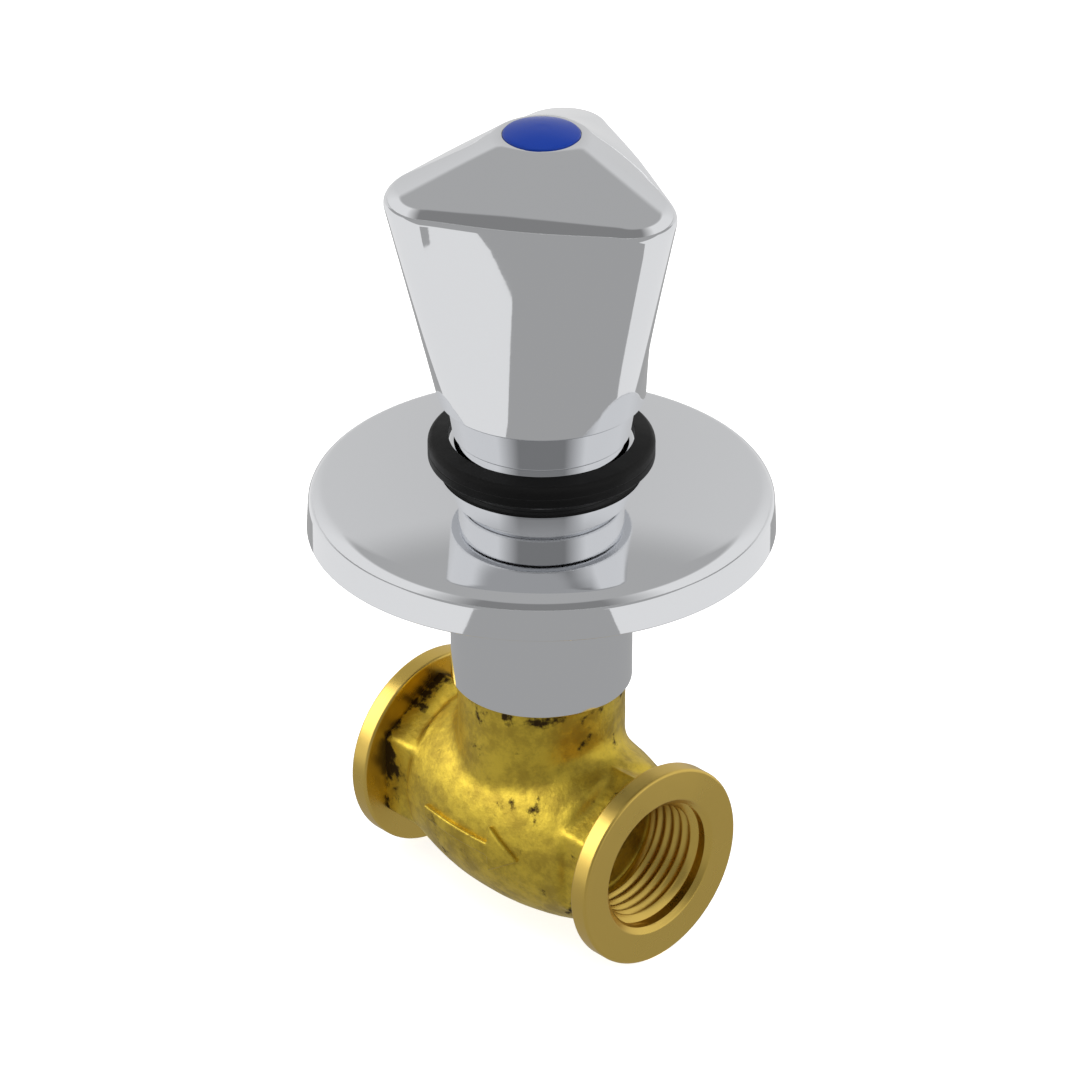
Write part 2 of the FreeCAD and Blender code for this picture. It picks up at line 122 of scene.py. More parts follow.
# handling marks: a slow cloud for finger grease and a fine one for the polish
def makeHandlingGroup():
    group, enter, leave = newGroup(
        "handlingMarks",
        [("Vector", "NodeSocketVector", (0, 0, 0)), ("Cloud Scale", "NodeSocketFloat", 60.0),
         ("Low Roughness", "NodeSocketFloat", 0.04), ("High Roughness", "NodeSocketFloat", 0.12)],
        [("Roughness", "NodeSocketFloat"), ("Height", "NodeSocketFloat")],
    )
    cloud = group.nodes.new("ShaderNodeTexNoise")
    cloud.inputs["Detail"].default_value = 5
    group.links.new(enter.outputs["Vector"], cloud.inputs["Vector"])
    group.links.new(enter.outputs["Cloud Scale"], cloud.inputs["Scale"])
    spread = group.nodes.new("ShaderNodeMapRange")
    spread.inputs["From Min"].default_value = 0.35
    spread.inputs["From Max"].default_value = 0.75
    group.links.new(cloud.outputs["Fac"], spread.inputs["Value"])
    group.links.new(enter.outputs["Low Roughness"], spread.inputs["To Min"])
    group.links.new(enter.outputs["High Roughness"], spread.inputs["To Max"])
    group.links.new(spread.outputs["Result"], leave.inputs["Roughness"])
    fine = noiseNode(group, enter.outputs["Vector"], 900.0, 3.0)
    group.links.new(fine, leave.inputs["Height"])
    return group


# rings that a lathe tool leaves, round the X axis
def makeToolRingGroup():
    group, enter, leave = newGroup(
        "toolRings",
        [("Vector", "NodeSocketVector", (0, 0, 0)), ("Rings Per Metre", "NodeSocketFloat", 3000.0)],
        [("Height", "NodeSocketFloat")],
    )
    split = group.nodes.new("ShaderNodeSeparateXYZ")
    group.links.new(enter.outputs["Vector"], split.inputs[0])
    flat = group.nodes.new("ShaderNodeCombineXYZ")
    group.links.new(split.outputs["Y"], flat.inputs["Y"])
    group.links.new(split.outputs["Z"], flat.inputs["Z"])
    length = group.nodes.new("ShaderNodeVectorMath")
    length.operation = "LENGTH"
    group.links.new(flat.outputs[0], length.inputs[0])
    turns = mathNode(group, "MULTIPLY", length.outputs["Value"], enter.outputs["Rings Per Metre"])
    line = group.nodes.new("ShaderNodeCombineXYZ")
    group.links.new(turns, line.inputs["X"])
    grooves = noiseNode(group, line.outputs[0], 1.0, 2.0)
    group.links.new(grooves, leave.inputs["Height"])
    return group


handlingMarks = makeHandlingGroup()
toolRings = makeToolRingGroup()


def newMaterial(name, **settings):
    material = bpy.data.materials.new(name)
    material.use_nodes = True
    tree = material.node_tree
    shader = tree.nodes["Principled BSDF"]
    for key, value in settings.items():
        shader.inputs[key.replace("_", " ")].default_value = value
    coords = tree.nodes.new("ShaderNodeTexCoord").outputs["Object"]
    return material, tree, shader, coords


def addBump(tree, shader, height, strength, distance):
    bump = addNode(tree, "ShaderNodeBump", Strength=strength, Distance=distance)
    tree.links.new(height, bump.inputs["Height"])
    tree.links.new(bump.outputs["Normal"], shader.inputs["Normal"])


def useHandling(tree, shader, coords, low, high, scale, strength):
    marks = addNode(tree, "ShaderNodeGroup", node_tree=handlingMarks)
    tree.links.new(coords, marks.inputs["Vector"])
    marks.inputs["Cloud Scale"].default_value = scale
    marks.inputs["Low Roughness"].default_value = low
    marks.inputs["High Roughness"].default_value = high
    tree.links.new(marks.outputs["Roughness"], shader.inputs["Roughness"])
    addBump(tree, shader, marks.outputs["Height"], strength, 0.00005)


def makeChrome():
    material, tree, shader, coords = newMaterial("chromePlate", Metallic=1.0, Base_Color=(0.80, 0.81, 0.83, 1))
    useHandling(tree, shader, coords, 0.03, 0.07, 45.0, 0.02)
    return material


def makeCastBrass():
    look = {
        "light": (0.74, 0.545, 0.062),
        "deep": (0.47, 0.33, 0.040),
        "stainAndShade": (0.050, 0.028, 0.008),
        "grain": 0.35,
    }
    material, tree, shader, coords = newMaterial("castBrass", Metallic=0.9, Roughness=0.5)
    patches = rangeNode(tree, noiseNode(tree, coords, 230.0, 9.0, 0.7), 0.38, 0.64)
    colour = mixColour(tree, patches, look["light"], look["deep"])
    split = tree.nodes.new("ShaderNodeSeparateXYZ")
    tree.links.new(coords, split.inputs[0])
    along = mathNode(tree, "ABSOLUTE", mathNode(tree, "SUBTRACT", split.outputs["X"], stemX * mm))
    # the stain mask is raised next to the turned flanges, where it darkens the casting, and at the sleeve's foot,
    # where it is a painted shadow under the sleeve
    nearFlange = rangeNode(tree, along, 0.018, 0.0238, 0.0, 0.16)
    nearSleeve = rangeNode(tree, split.outputs["Z"], 0.0185, 0.0240, 0.0, 0.12)
    extra = mathNode(tree, "ADD", nearFlange, nearSleeve)
    blotAndShade = mathNode(tree, "ADD", noiseNode(tree, coords, 210.0, 8.0, 0.62), extra)
    # random stains plus painted shade: darker next to the flanges and a painted shadow below the sleeve
    stainAndShade = rangeNode(tree, blotAndShade, 0.60, 0.70)
    colour = mixColour(tree, stainAndShade, colour, look["stainAndShade"])
    tree.links.new(colour, shader.inputs["Base Color"])
    tree.links.new(rangeNode(tree, stainAndShade, 0.0, 1.0, 0.42, 0.62), shader.inputs["Roughness"])
    sand = noiseNode(tree, coords, 1500.0, 4.0)
    lumps = noiseNode(tree, coords, 420.0, 3.0)
    height = mathNode(tree, "ADD", mathNode(tree, "MULTIPLY", sand, 0.5), lumps)
    addBump(tree, shader, height, look["grain"], 0.0003)
    return material


def makeTurnedBrass():
    material, tree, shader, coords = newMaterial("turnedBrass", Metallic=1.0, Base_Color=(0.76, 0.535, 0.125, 1))
    rings = addNode(tree, "ShaderNodeGroup", node_tree=toolRings)
    tree.links.new(coords, rings.inputs["Vector"])
    rings.inputs["Rings Per Metre"].default_value = 5200.0
    tree.links.new(rangeNode(tree, noiseNode(tree, coords, 90.0), 0.3, 0.7, 0.24, 0.36), shader.inputs["Roughness"])
    addBump(tree, shader, rings.outputs["Height"], 0.25, 0.00006)
    return material


def makeRubber():
    material, tree, shader, coords = newMaterial(
        "blackRubber", Base_Color=(0.006, 0.006, 0.006, 1), Specular_IOR_Level=0.15,
    )
    tree.links.new(rangeNode(tree, noiseNode(tree, coords, 160.0), 0.3, 0.7, 0.42, 0.56), shader.inputs["Roughness"])
    addBump(tree, shader, noiseNode(tree, coords, 2500.0, 2.0), 0.12, 0.0001)
    return material


def makePlastic(name, colour, low, high, gloss=0.5):
    material, tree, shader, coords = newMaterial(name, Base_Color=(*colour, 1), Specular_IOR_Level=gloss)
    useHandling(tree, shader, coords, low, high, 120.0, 0.05)
    return material


def makeSteel():
    material, tree, shader, coords = newMaterial("stainless", Metallic=1.0, Base_Color=(0.55, 0.55, 0.56, 1))
    useHandling(tree, shader, coords, 0.25, 0.38, 200.0, 0.2)
    return material


chromePlate = makeChrome()
castBrass = makeCastBrass()
turnedBrass = makeTurnedBrass()
blackRubber = makeRubber()
indexBlue = makePlastic("indexBlue", (0.007, 0.045, 0.350), 0.18, 0.28, 0.18)
bushPlastic = makePlastic("bushPlastic", (0.62, 0.62, 0.58), 0.4, 0.5)
redFibre = makePlastic("redFibre", (0.16, 0.03, 0.015), 0.7, 0.8)
whitePacking = makePlastic("whitePacking", (0.7, 0.7, 0.66), 0.6, 0.7)
stainless = makeSteel()
print("materials made")

slotMaterials = {
    "cast_brass": castBrass, "turned_brass": turnedBrass, "chrome_plate": chromePlate,
    "black_rubber": blackRubber, "red_fibre": redFibre, "white_packing": whitePacking,
    "bush_plastic": bushPlastic, "stainless": stainless, "index_blue": indexBlue,
}
for part in frame["record"]["subparts"]:
    node = frame["nodes"][part["node"]]
    node.data.materials.clear()
    node.data.materials.append(slotMaterials[part["material_slot"]])


# the vertices, edges or faces among what a bmesh operator gives back
def only(kind, geom):
    return [g for g in geom if isinstance(g, kind)]


def roundEdges(bm, edges, offset, segments, clamp=True):
    bmesh.ops.bevel(
        bm, geom=edges, offset=offset, segments=segments, profile=0.5, affect="EDGES", material=-1,
        clamp_overlap=clamp,
    )


# turns a finished bmesh in mm into a smooth-shaded piece on its body
def finishPiece(name, bm, body, slot, stands=(), creaseAngle=32.0, weighted=True):
    bmesh.ops.remove_doubles(bm, verts=bm.verts, dist=mergeDistance)
    bmesh.ops.recalc_face_normals(bm, faces=bm.faces)
    bmesh.ops.scale(bm, vec=(mm, mm, mm), verts=bm.verts)
    mesh = bpy.data.meshes.new(name)
    bm.to_mesh(mesh)
    bm.free()
    mesh.polygons.foreach_set("use_smooth", [True] * len(mesh.polygons))
    mesh.set_sharp_from_angle(angle=math.radians(creaseAngle))
    mesh.materials.append(slotMaterials[slot])
    piece = bpy.data.objects.new(name, mesh)
    bpy.context.scene.collection.objects.link(piece)
    if weighted:
        piece.modifiers.new("weightedNormal", "WEIGHTED_NORMAL").keep_sharp = True
    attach(piece, body)
    if stands:
        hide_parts(*stands)
    return piece


# spins a closed profile of (radius, height) corners about Z; rounds is {corner: (size, segments)}
def spinProfile(corners, rounds, steps=144):
    bm = bmesh.new()
    ring = [bm.verts.new((r, 0, z)) for r, z in corners]
    for first, second in zip(ring, ring[1:] + ring[:1]):
        bm.edges.new((first, second))
    bmesh.ops.spin(
        bm, geom=bm.verts[:] + bm.edges[:], cent=(0, 0, 0), axis=(0, 0, 1), angle=2 * math.pi,
        steps=steps, use_merge=True, use_duplicate=False,
    )
    bmesh.ops.remove_doubles(bm, verts=bm.verts, dist=mergeDistance)
    bmesh.ops.recalc_face_normals(bm, faces=bm.faces)
    for corner, (size, segments) in rounds.items():
        r, z = corners[corner]
        edges = [
            e for e in bm.edges
            if all(abs(v.co.z - z) < 1e-4 and abs(math.hypot(v.co.x, v.co.y) - r) < 1e-3 for v in e.verts)
        ]
        roundEdges(bm, edges, size, segments)
    return bm


def onStem(bm):
    bmesh.ops.translate(bm, vec=(stemX, 0, 0), verts=bm.verts)
    return bm


def makeSleeve():
    size = {"inside": 13.25, "outside": 14.0, "bottom": 23.6, "top": 64.3, "edge": 0.25}
    bm = spinProfile(
        [(size["inside"], size["bottom"]), (size["outside"], size["bottom"]),
         (size["outside"], size["top"]), (size["inside"], size["top"])],
        {1: (size["edge"], 4), 2: (size["edge"], 4)},
    )
    finishPiece("sleeveTube", onStem(bm), "valve_body", "chrome_plate", ["sleeve"])


def makeWallFlange():
    size = {
        "hole": 15.2, "lipTop": 59.35, "seatR": 17.6, "seat": 58.142, "domeR": 185.0, "domeStart": 16.0,
        "domeEnd": 32.7, "domeSteps": 20, "edge": 56.594, "topR": 35.3, "rimR": 35.7, "rim": 49.9, "sheet": 1.0,
        "corner": 2.1, "cornerSheet": 0.82, "underEnd": (32.0, 56.2), "underStart": (26.0, 57.18),
    }
    slope = math.asin(size["domeStart"] / size["domeR"])
    centre = size["lipTop"] - (size["domeStart"] - size["hole"]) * math.tan(slope) - size["domeR"] * math.cos(slope)
    corners = [(size["hole"], size["seat"]), (size["hole"], size["lipTop"])]
    for step in range(size["domeSteps"] + 1):
        radius = size["domeStart"] + (size["domeEnd"] - size["domeStart"]) * step / size["domeSteps"]
        corners.append((radius, centre + math.sqrt(size["domeR"] ** 2 - radius ** 2)))
    edge = len(corners)
    corners += [
        (size["topR"], size["edge"]), (size["rimR"], size["rim"]), (size["rimR"] - size["sheet"], size["rim"]),
        (size["topR"] - size["sheet"], size["edge"] - size["sheet"] * size["cornerSheet"]),
        size["underEnd"], size["underStart"], (size["seatR"], size["seat"]),
    ]
    bm = spinProfile(
        corners,
        {1: (0.3, 4), edge: (size["corner"], 8), edge + 1: (0.2, 3), edge + 2: (0.2, 3), edge + 3: (1.0, 5)},
        192,
    )
    finishPiece("flangeDish", onStem(bm), "wall_flange", "chrome_plate", ["wall_flange"])


def makeFlangeSeal():
    size = {"inside": 14.05, "hole": 15.2, "foot": 17.4, "top": 59.5, "under": 58.142, "bottom": 56.942}
    bm = spinProfile(
        [(size["inside"], size["bottom"]), (size["foot"], size["bottom"]), (size["foot"], size["under"]),
         (size["hole"], size["under"]), (size["hole"], size["top"]), (size["inside"], size["top"])],
        {1: (0.3, 3), 4: (0.3, 3)},
    )
    finishPiece("flangeBush", onStem(bm), "wall_flange", "black_rubber", ["flange_seal"])


def makeStopRing():
    size = {
        "inside": 14.05, "outside": 17.2, "bottom": 61.6, "top": 65.6, "fall": 0.6, "edge": 0.55, "topEdge": 0.8,
    }
    seam = {"z": 63.2, "deep": 0.07, "half": 0.12}
    bm = spinProfile(
        [(size["inside"], size["bottom"]), (size["outside"], size["bottom"]),
         (size["outside"], seam["z"] - seam["half"]), (size["outside"] - seam["deep"], seam["z"]),
         (size["outside"], seam["z"] + seam["half"]), (size["outside"], size["top"] - size["fall"]),
         (size["inside"], size["top"])],
        {1: (size["edge"], 5), 5: (size["topEdge"], 6), 6: (0.15, 3)},
    )
    ring = finishPiece("rubberRing", onStem(bm), "stop_ring", "black_rubber", ["stop_ring"], 25.0)
    ring.visible_glossy = False    # a liberty: the dish under it mirrors the plating alone


# a closed outline of three round corners joined by barely bent sides, in the XY plane
def cornerOutline(bm, size):
    centre = size["tip"] - size["cornerRound"]
    blunt = Vector((size["side"] * 0.5, size["side"] * math.sqrt(0.75), 0))
    normal = math.radians(59)
    for _ in range(20):
        foot = Vector((centre + size["cornerRound"] * math.cos(normal), size["cornerRound"] * math.sin(normal), 0))
        normal = math.atan2((blunt - foot).y, (blunt - foot).x) - math.pi / 2
    ends = []
    for turn in range(3):
        spin = Matrix.Rotation(math.radians(120) * turn, 3, "Z")
        start = bm.verts.new(spin @ Vector((foot.x, -foot.y, 0)))
        arc = bmesh.ops.spin(
            bm, geom=[start], cent=spin @ Vector((centre, 0, 0)), axis=(0, 0, 1), angle=2 * normal,
            steps=size["cornerSteps"], use_duplicate=False,
        )
        last = only(BMVert, arc["geom_last"])[0]
        ends.append((start, last, bm.verts.new(spin @ blunt)))
    sides = []
    for index, (start, last, crest) in enumerate(ends):
        sides.append(bm.edges.new((last, crest)))
        sides.append(bm.edges.new((crest, ends[(index + 1) % 3][0])))
    bmesh.ops.subdivide_edges(bm, edges=sides, cuts=size["sideCuts"])
    bmesh.ops.remove_doubles(bm, verts=bm.verts, dist=mergeDistance)


def makeHandle():
    size = {
        "tip": 24.5, "side": 16.1, "cornerRound": 7.2, "cornerSteps": 26, "sideCuts": 11,
        "rimZ": 108.3, "rimRound": 2.4, "topR": 6.8, "topZ": 115.0, "well": 5.88, "wellFloor": 113.7, "turn": 4.6,
        "baseR": 15.7, "grooveZ": 72.3, "grooveR": 13.5, "grooveEnd": 72.0, "skirtR": 14.3, "skirtTop": 71.85,
        "skirtEndR": 13.4, "skirtEnd": 66.0, "spigotR": 12.8, "spigotEnd": 58.0, "hollowR": 11.8, "hollowTop": 75.0,
        "screwR": 4.38, "screwFloor": 112.0, "sideRings": 12, "armCuts": 9, "armSoftenings": 2,
    }
    below = [    # radius and height of each ring from the grip's base down and back up inside
        (size["baseR"], size["grooveZ"]), (size["grooveR"], size["grooveZ"]), (size["grooveR"], size["grooveEnd"]),
        (size["skirtR"], size["skirtTop"]), (size["skirtEndR"], size["skirtEnd"]),
        (size["spigotR"], size["skirtEnd"]), (size["spigotR"], size["spigotEnd"]),
        (size["hollowR"], size["spigotEnd"]), (size["hollowR"], size["hollowTop"]),
    ]
    above = [
        (size["topR"], size["topZ"]), (size["well"], size["topZ"]), (size["well"], size["wellFloor"]),
        (size["screwR"], size["wellFloor"]), (size["screwR"], size["screwFloor"]),
    ]
    bm = bmesh.new()
    cornerOutline(bm, size)
    bmesh.ops.translate(bm, vec=(0, 0, size["rimZ"]), verts=bm.verts)
    rim = bm.edges[:]

    def addRing(edges, radius, height):
        made = bmesh.ops.extrude_edge_only(bm, edges=edges)["geom"]
        for vert in only(BMVert, made):
            flat = vert.co.xy.normalized() * radius
            vert.co = Vector((flat.x, flat.y, height))
        return [
            e for e in only(BMEdge, made)
            if all(abs(v.co.z - height) < 1e-5 and abs(v.co.xy.length - radius) < 1e-4 for v in e.verts)
        ]

    for chain in (below, above):
        edges = rim
        for radius, height in chain:
            edges = addRing(edges, radius, height)

    def roundRing(keep, offset, segments):
        roundEdges(bm, [e for e in bm.edges if all(keep(v.co) for v in e.verts)], offset, segments)

    bmesh.ops.recalc_face_normals(bm, faces=bm.faces)
    roundRing(lambda co: abs(co.z - size["rimZ"]) < 1e-4, size["rimRound"], 10)
    for radius, height, offset in (
        (size["topR"], size["topZ"], 0.9), (size["well"], size["topZ"], 0.15), (size["baseR"], size["grooveZ"], 0.3),
        (size["skirtR"], size["skirtTop"], 0.2), (size["skirtEndR"], size["skirtEnd"], 0.4),
    ):
        roundRing(lambda co: abs(co.z - height) < 1e-4 and abs(co.xy.length - radius) < 1e-3, offset, 4)
    upright = [
        e for e in bm.edges
        if max(v.co.z for v in e.verts) > 100 and min(v.co.z for v in e.verts) < 75
    ]
    bmesh.ops.subdivide_edges(bm, edges=upright, cuts=size["sideRings"], use_grid_fill=True)
    arms = [
        e for e in bm.edges
        if max(v.co.z for v in e.verts) > 114 and 107 < min(v.co.z for v in e.verts) < 112
    ]
    inner = bmesh.ops.subdivide_edges(bm, edges=arms, cuts=size["armCuts"], use_grid_fill=True)["geom_inner"]
    inner = only(BMVert, inner)
    for _ in range(size["armSoftenings"]):
        bmesh.ops.smooth_vert(bm, verts=inner, factor=0.5, use_axis_x=True, use_axis_y=True, use_axis_z=True)
    turn = Matrix.Rotation(math.radians(size["turn"]), 3, "Z")
    bmesh.ops.rotate(bm, cent=(0, 0, 0), matrix=turn, verts=bm.verts)
    finishPiece("handleShell", onStem(bm), "handle", "chrome_plate", ["handle"], 38.0)


def makeButton():
    size = {"r": 5.8, "low": 113.7, "edge": 115.25, "dome": 0.9, "rings": 7, "ringWidth": 0.72, "edgeRound": 0.3}
    sphere = (size["r"] ** 2 + size["dome"] ** 2) / (2 * size["dome"])
    bm = bmesh.new()
    bmesh.ops.create_circle(bm, cap_ends=True, segments=96, radius=size["r"])
    for _ in range(size["rings"]):
        middle = [f for f in bm.faces if len(f.verts) > 4]
        bmesh.ops.inset_region(
            bm, faces=middle, thickness=size["ringWidth"], use_boundary=True, use_even_offset=True,
        )
    for vert in bm.verts:
        vert.co.z = size["edge"] + size["dome"] - sphere + math.sqrt(sphere ** 2 - vert.co.xy.length_squared)
    rim = [e for e in bm.edges if e.is_boundary]
    down = bmesh.ops.extrude_edge_only(bm, edges=rim)["geom"]
    for vert in only(BMVert, down):
        vert.co.z = size["low"]
    bmesh.ops.recalc_face_normals(bm, faces=bm.faces)
    roundEdges(bm, rim, size["edgeRound"], 5, clamp=False)
    finishPiece("indexCap", onStem(bm), "handle", "index_blue", ["index_button"])


# raised arrow for the way of flow, cast on the front of the barrel
def makeFlowArrow():
    size = {
        "length": 21.0, "shaft": 2.2, "head": 4.0, "headLength": 6.0, "proud": 0.75, "drop": 0.3,
        "middleR": 15.75, "endR": 13.4, "halfBarrel": 15.9, "sunk": 1.0, "cornerRound": 0.35, "edgeRound": 0.32,
        "longest": 1.2,
    }
    half, neck = size["length"] / 2, size["length"] / 2 - size["headLength"]
    bm = bmesh.new()
    shape = [
        (-half, -size["shaft"] / 2), (neck, -size["shaft"] / 2), (neck, -size["head"]), (half, 0),
        (neck, size["head"]), (neck, size["shaft"] / 2), (-half, size["shaft"] / 2),
    ]
    bm.faces.new([bm.verts.new((x, 0, z)) for x, z in shape])
    bmesh.ops.bevel(
        bm, geom=bm.verts[:], offset=size["cornerRound"], segments=3, profile=0.5, affect="VERTICES", material=-1,
    )
    raised = bmesh.ops.extrude_face_region(bm, geom=bm.faces[:])["geom"]
    top = set(only(BMVert, raised))
    for vert in top:
        vert.co.y = -size["proud"] - size["sunk"]
    bmesh.ops.recalc_face_normals(bm, faces=bm.faces)
    rim = [e for e in bm.edges if all(v in top for v in e.verts) and len(e.link_faces) == 2]
    roundEdges(bm, rim, size["edgeRound"], 4, clamp=False)
    bmesh.ops.triangulate(bm, faces=[f for f in bm.faces if len(f.verts) > 4])
    long = [e for e in bm.edges if e.calc_length() > size["longest"]]
    bmesh.ops.subdivide_edges(bm, edges=long, cuts=4, use_grid_fill=True)
    for vert in bm.verts:    # wrapped round the barrel
        fall = (size["middleR"] - size["endR"]) * (vert.co.x / size["halfBarrel"]) ** 2
        radius = size["middleR"] - fall - size["sunk"] - vert.co.y
        angle = (vert.co.z + size["drop"]) / size["middleR"]
        vert.co = Vector((vert.co.x, -radius * math.cos(angle), radius * math.sin(angle)))
    finishPiece("flowArrow", onStem(bm), "valve_body", "cast_brass", (), 50.0, False)


# the cast middle: the CAD solid less its turned ends, softened as sand casting leaves it
def makeCasting():
    size = {
        "voxel": 0.42, "cut": 22.9, "stub": 1.2, "softenings": 4, "wobble": 0.06, "slow": 260, "fast": 700,
        "fastShare": 0.5,
    }
    bm = bmesh.new()
    bm.from_mesh(frame["nodes"]["body_casting"].data)
    bmesh.ops.remove_doubles(bm, verts=bm.verts, dist=1e-6)
    for side in (-1, 1):
        cut = bmesh.ops.bisect_plane(
            bm, geom=bm.verts[:] + bm.edges[:] + bm.faces[:], plane_co=((stemX + side * size["cut"]) * mm, 0, 0),
            plane_no=(side, 0, 0), clear_outer=True,
        )
        edges = only(BMEdge, cut["geom_cut"])
        cap = only(BMFace, bmesh.ops.triangle_fill(bm, edges=edges, use_beauty=True)["geom"])
        stub = only(BMVert, bmesh.ops.extrude_face_region(bm, geom=cap)["geom"])
        bmesh.ops.translate(bm, vec=(side * size["stub"] * mm, 0, 0), verts=stub)
        bmesh.ops.delete(bm, geom=cap, context="FACES_ONLY")
    mesh = bpy.data.meshes.new("castMiddle")
    bm.to_mesh(mesh)
    bm.free()
    piece = bpy.data.objects.new("castMiddle", mesh)
    bpy.context.scene.collection.objects.link(piece)
    remesh = piece.modifiers.new("voxel", "REMESH")
    remesh.mode = "VOXEL"
    remesh.voxel_size = size["voxel"] * mm
    bpy.context.view_layer.update()
    solid = bpy.data.meshes.new_from_object(piece.evaluated_get(bpy.context.evaluated_depsgraph_get()))
    piece.modifiers.clear()
    bm = bmesh.new()
    bm.from_mesh(solid)
    for _ in range(size["softenings"]):
        bmesh.ops.smooth_vert(bm, verts=bm.verts, factor=0.5, use_axis_x=True, use_axis_y=True, use_axis_z=True)
    bm.normal_update()
    for vert in bm.verts:
        swell = noise.noise(vert.co * size["slow"]) + size["fastShare"] * noise.noise(vert.co * size["fast"])
        vert.co += vert.normal * (swell * size["wobble"] * mm)
    bm.to_mesh(mesh)
    bm.free()
    bpy.data.meshes.remove(solid)
    mesh.polygons.foreach_set("use_smooth", [True] * len(mesh.polygons))
    mesh.materials.clear()
    mesh.materials.append(castBrass)
    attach(piece, "valve_body")
    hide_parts("body_casting")
    print("casting:", len(mesh.polygons), "faces")


def makePorts():
    size = {
        "bore": 10.42, "chamfer": 11.28, "chamferDeep": 0.8, "flange": 16.25, "mouth": 26.4, "back": 23.2,
        "bottom": 13.4, "liner": 10.9,
    }
    thread = {
        "pitch": 1.814, "crest": 9.32, "root": 10.5, "turns": 6, "stepsPerTurn": 72, "first": 24.9, "runOut": 0.3,
        "foot": 0.92, "tip": 0.26, "tipRound": 0.12,
    }
    for side, name in ((1, "outlet"), (-1, "inlet")):
        bm = spinProfile(
            [(size["bore"], size["bottom"]), (size["bore"], size["mouth"] - size["chamferDeep"]),
             (size["chamfer"], size["mouth"]),
             (size["flange"], size["mouth"]), (size["flange"], size["back"]), (size["liner"], size["back"]),
             (size["liner"], size["bottom"])],
            {2: (0.15, 2), 3: (0.45, 4), 4: (0.45, 4)},
            144,
        )
        turn = Matrix.Rotation(math.radians(90 * side), 3, "Y")
        bmesh.ops.rotate(bm, cent=(0, 0, 0), matrix=turn, verts=bm.verts)
        finishPiece(name + "Flange", onStem(bm), "valve_body", "turned_brass", ["body_casting"])
        bm = bmesh.new()
        flank = thread["pitch"] / 2
        foot, tip, shoulder = flank * thread["foot"], flank * thread["tip"], thread["crest"] + thread["tipRound"]
        profile = [
            (thread["root"], -foot), (shoulder, -tip), (thread["crest"], 0), (shoulder, tip), (thread["root"], foot),
        ]
        low = thread["first"] - thread["turns"] * thread["pitch"]
        ring = [bm.verts.new((r, 0, low + z)) for r, z in profile]
        for first, second in zip(ring, ring[1:]):
            bm.edges.new((first, second))
        steps = thread["turns"] * thread["stepsPerTurn"]
        bmesh.ops.spin(
            bm, geom=bm.verts[:] + bm.edges[:], cent=(0, 0, 0), axis=(0, 0, 1),
            angle=2 * math.pi * thread["turns"] * side, steps=steps,
            dvec=(0, 0, thread["pitch"] / thread["stepsPerTurn"]), use_duplicate=False,
        )
        for vert in bm.verts:    # the thread fades into the bore at both ends
            part = math.atan2(vert.co.y, vert.co.x) / (2 * math.pi) * side % 1.0
            turned = part + round((vert.co.z - low) / thread["pitch"] - part)
            fade = min(1.0, max(0.0, min(turned, thread["turns"] - turned) / thread["runOut"]))
            radius = vert.co.xy.length
            wanted = thread["root"] + (radius - thread["root"]) * fade
            vert.co.xy = vert.co.xy * (wanted / radius)
        bmesh.ops.rotate(bm, cent=(0, 0, 0), matrix=turn, verts=bm.verts)
        finishPiece(name + "Thread", onStem(bm), "valve_body", "turned_brass", (), 40.0, False)


makeSleeve()
makeWallFlange()
makeFlangeSeal()
makeStopRing()
makeHandle()
makeButton()
print("plated and rubber pieces made")
makeCasting()
makeFlowArrow()
makePorts()
print("body made")


def makeStage():
    size = {"floorZ": -16.25, "reach": 3.0, "grey": 0.80}
    bm = bmesh.new()
    bmesh.ops.create_grid(bm, x_segments=1, y_segments=1, size=size["reach"])
    bmesh.ops.translate(bm, vec=(0, 0, size["floorZ"] * mm), verts=bm.verts)
    mesh = bpy.data.meshes.new("floor")
    bm.to_mesh(mesh)
    bm.free()
    floor = bpy.data.objects.new("floor", mesh)
    bpy.context.scene.collection.objects.link(floor)
    material, tree, shader, coords = newMaterial("paleFloor", Base_Color=(*(size["grey"],) * 3, 1), Roughness=0.95)
    path = tree.nodes.new("ShaderNodeLightPath")
    seen = mathNode(tree, "MAXIMUM", path.outputs["Is Camera Ray"], path.outputs["Is Glossy Ray"])
    seen = mathNode(tree, "MAXIMUM", seen, path.outputs["Is Transmission Ray"])
    shader.inputs["Emission Color"].default_value = (1, 1, 1, 1)
    tree.links.new(mathNode(tree, "MULTIPLY", seen, size["grey"]), shader.inputs["Emission Strength"])
    mesh.materials.append(material)


# an angle round the stem as a share of a turn, 0.5 where the camera stands
def turnShare(tree, coords):
    moved = addNode(tree, "ShaderNodeMapping", vector_type="TEXTURE")
    moved.inputs["Rotation"].default_value = (0, 0, math.radians(cameraTurn - 90))
    tree.links.new(coords, moved.inputs["Vector"])
    split = tree.nodes.new("ShaderNodeSeparateXYZ")
    tree.links.new(moved.outputs[0], split.inputs[0])
    angle = mathNode(tree, "ARCTAN2", split.outputs["Y"], split.outputs["X"])
    return mathNode(tree, "ADD", mathNode(tree, "DIVIDE", angle, 2 * math.pi), 0.5), split


# greys round the stem, from stops of (degrees to the right of the camera, grey)
def greyRamp(tree, share, stops):
    ramp = tree.nodes.new("ShaderNodeValToRGB")
    for _ in stops[2:]:
        ramp.color_ramp.elements.new(0.5)
    for element, (degrees, grey) in zip(ramp.color_ramp.elements, stops):
        element.position = (degrees + 180) / 360
        element.color = (grey, grey, grey, 1)
    tree.links.new(share, ramp.inputs["Fac"])
    return ramp.outputs["Color"]
